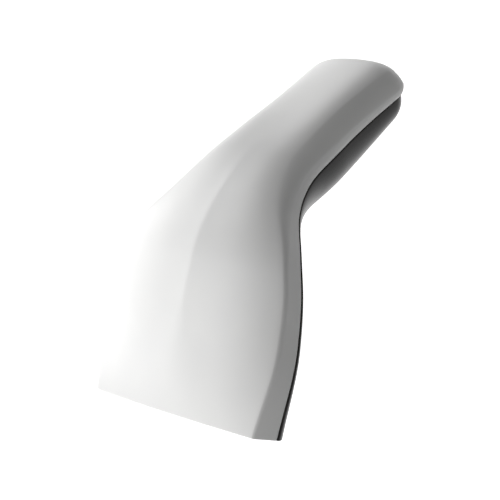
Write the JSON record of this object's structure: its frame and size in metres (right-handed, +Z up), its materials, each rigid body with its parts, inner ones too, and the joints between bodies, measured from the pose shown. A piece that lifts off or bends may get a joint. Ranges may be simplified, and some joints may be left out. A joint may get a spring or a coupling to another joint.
{
  "type": "handheld barcode scanner",
  "caption": "Handheld contact barcode scanner: wide flared head with a windowed mouth, bent neck, round grip with a rocking trigger underneath and a modular cable socket.",
  "frame": {"origin": "under the middle of the scanner, on the table it lies on", "axes": "+Y from the mouth toward the end of the grip, +Z up from the table, +X to the left when the mouth points away; the scanner lies on its lower casing, on the mouth's lower edge and the grip's end"},
  "size_m": [0.0782, 0.129, 0.0431],
  "materials": {
    "white_casing": "satin",
    "black_casing": "gloss",
    "black_plastic": "fine matte",
    "window": "clear",
    "optic_glass": "coated",
    "mirror": "polished",
    "steel": "satin",
    "dark_screw": "black zinc",
    "board": "solder mask",
    "chip": "moulded",
    "led": "clear red",
    "contact": "gold flash",
    "flex": "film",
    "ivory": "moulded"
  },
  "bodies": {
    "casing": {"top_shell": "white_casing", "bottom_shell": "black_casing", "nose_frame": "black_plastic", "scan_window": "window", "optical_chassis": "black_plastic", "lower_mirror": "mirror", "upper_mirror": "mirror", "lens_barrel": "black_plastic", "scan_lens": "optic_glass", "lens_clamp": "steel", "sensor_board": "board", "line_sensor": "chip", "sensor_glass": "optic_glass", "led_board": "board", "led_row": "led", "main_board": "board", "decoder_chip": "chip", "board_chips": "chip", "clock_crystal": "steel", "buzzer": "black_plastic", "cable_socket": "black_plastic", "socket_contacts": "contact", "socket_collar": "black_plastic", "trigger_pin": "steel", "return_spring": "steel", "switch_body": "chip", "sensor_flex": "flex", "led_flex": "flex", "casing_screws": "dark_screw", "chassis_screws": "steel", "board_screws": "steel"},
    "trigger": {"trigger": "black_casing"},
    "plunger": {"switch_plunger": "ivory"}
  },
  "joints": [
    {"name": "trigger_press", "type": "hinge", "parent": "casing", "child": "trigger", "pos_m": [0, 0.02727, 0.01066], "axis": [-1, 0, 0], "range_deg": [0, 4.4], "stiffness_Nm_per_rad": 0.12, "springref_deg": -5.73, "deforming": ["return_spring"]},
    {"name": "plunger_press", "type": "slide", "parent": "casing", "child": "plunger", "axis": [0, 0.4549, 0.8906], "range_m": [0, 0.0005]}
  ],
  "couplings": [
    {"joint": "plunger_press", "follows": "trigger_press", "m_per_rad": 0.006}
  ]
}
